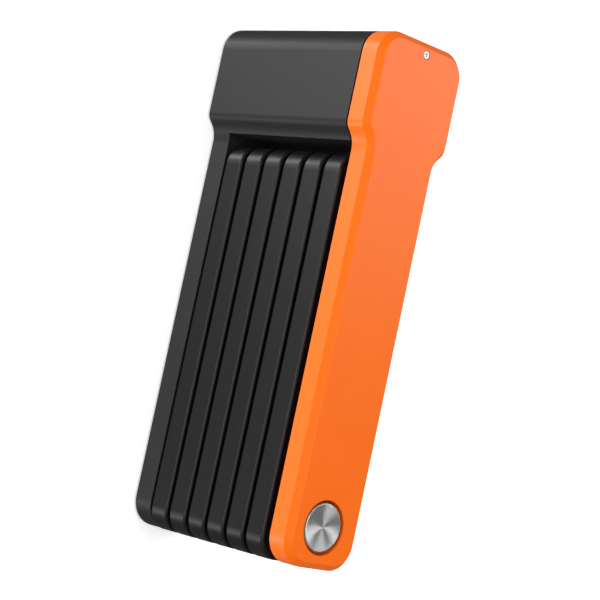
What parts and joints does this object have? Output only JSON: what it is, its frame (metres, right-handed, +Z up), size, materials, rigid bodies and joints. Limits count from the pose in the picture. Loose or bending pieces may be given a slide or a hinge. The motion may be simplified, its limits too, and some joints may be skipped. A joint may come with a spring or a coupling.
{
  "type": "folding bike lock",
  "caption": "Folding bike lock: riveted steel links in black sheaths, stowed between a black head with one long leg and an orange side cover.",
  "frame": {"origin": "centre of the lock's outline on the plane of the leg's outer face, which it lies on", "axes": "+Z up through the stack of links to the side cover, +Y along the lock towards the head, +X across its depth towards the tongue slot"},
  "size_m": [0.0418, 0.18, 0.0795],
  "materials": {
    "black_nylon": "satin moulded, finely textured",
    "link_sheath": "satin moulded over the steel",
    "black_acetal": "smooth satin",
    "orange_shell": "satin moulded, soft sheen",
    "hardened_steel": "ground and plated",
    "brushed_stainless": "turned, radial sheen",
    "black_screw_steel": "black oxide",
    "zinc_casting": "die-cast, matt",
    "brass": "turned"
  },
  "bodies": {
    "lock_body": {"head_shell": "black_nylon", "leg_plate": "hardened_steel", "leg_screws": "black_screw_steel", "side_cover": "orange_shell", "frame_plate": "hardened_steel", "frame_screws": "black_screw_steel", "cover_screws": "black_screw_steel", "lock_block": "zinc_casting", "cylinder_housing": "brass", "cylinder_pin": "hardened_steel", "cover_pin": "brushed_stainless", "main_rivet": "brushed_stainless", "main_washer": "hardened_steel"},
    "link_1": {"link_1_core": "hardened_steel", "link_1_sheath": "link_sheath", "rivet_1_2": "brushed_stainless", "washer_1_2": "hardened_steel"},
    "link_2": {"link_2_core": "hardened_steel", "link_2_sheath": "link_sheath", "rivet_2_3": "brushed_stainless", "washer_2_3": "hardened_steel"},
    "link_3": {"link_3_core": "hardened_steel", "link_3_sheath": "link_sheath", "rivet_3_4": "brushed_stainless", "washer_3_4": "hardened_steel"},
    "link_4": {"link_4_core": "hardened_steel", "link_4_sheath": "link_sheath", "rivet_4_5": "brushed_stainless", "washer_4_5": "hardened_steel"},
    "link_5": {"link_5_core": "hardened_steel", "link_5_sheath": "link_sheath", "rivet_5_6": "brushed_stainless", "washer_5_6": "hardened_steel"},
    "link_6": {"link_6_core": "hardened_steel", "link_6_sheath": "link_sheath"},
    "key_plug": {"key_plug": "brass", "lock_discs": "brass", "sidebar": "hardened_steel", "cam": "hardened_steel"},
    "locking_bolt": {"locking_bolt": "hardened_steel"},
    "keyhole_cover": {"keyhole_cover": "black_acetal"}
  },
  "joints": [
    {"name": "link_1_hinge", "type": "hinge", "parent": "lock_body", "child": "link_1", "pos_m": [-0.0011, -0.076, 0.06327], "axis": [0, 0, 1], "range_deg": [-180, 180]},
    {"name": "link_2_hinge", "type": "hinge", "parent": "link_1", "child": "link_2", "pos_m": [-0.0011, 0.0344, 0.05343], "axis": [0, 0, 1], "range_deg": [-94, 94]},
    {"name": "link_3_hinge", "type": "hinge", "parent": "link_2", "child": "link_3", "pos_m": [-0.0011, -0.076, 0.04358], "axis": [0, 0, 1], "range_deg": [-180, 180]},
    {"name": "link_4_hinge", "type": "hinge", "parent": "link_3", "child": "link_4", "pos_m": [-0.0011, 0.0344, 0.03372], "axis": [0, 0, 1], "range_deg": [-94, 94]},
    {"name": "link_5_hinge", "type": "hinge", "parent": "link_4", "child": "link_5", "pos_m": [-0.0011, -0.076, 0.02388], "axis": [0, 0, 1], "range_deg": [-180, 180]},
    {"name": "link_6_hinge", "type": "hinge", "parent": "link_5", "child": "link_6", "pos_m": [-0.0011, 0.0344, 0.01402], "axis": [0, 0, 1], "range_deg": [-94, 94]},
    {"name": "key_turn", "type": "hinge", "parent": "lock_body", "child": "key_plug", "pos_m": [0, 0.07, 0.046], "axis": [0, 1, 0], "range_deg": [0, 90]},
    {"name": "bolt_slide", "type": "slide", "parent": "lock_body", "child": "locking_bolt", "axis": [0, 0, -1], "range_m": [0, 0.00566]},
    {"name": "keyhole_cover_slide", "type": "slide", "parent": "lock_body", "child": "keyhole_cover", "axis": [0, 0, -1], "range_m": [0, 0.018]}
  ],
  "couplings": [
    {"joint": "key_turn", "follows": "bolt_slide", "rad_per_m": 277.67}
  ]
}
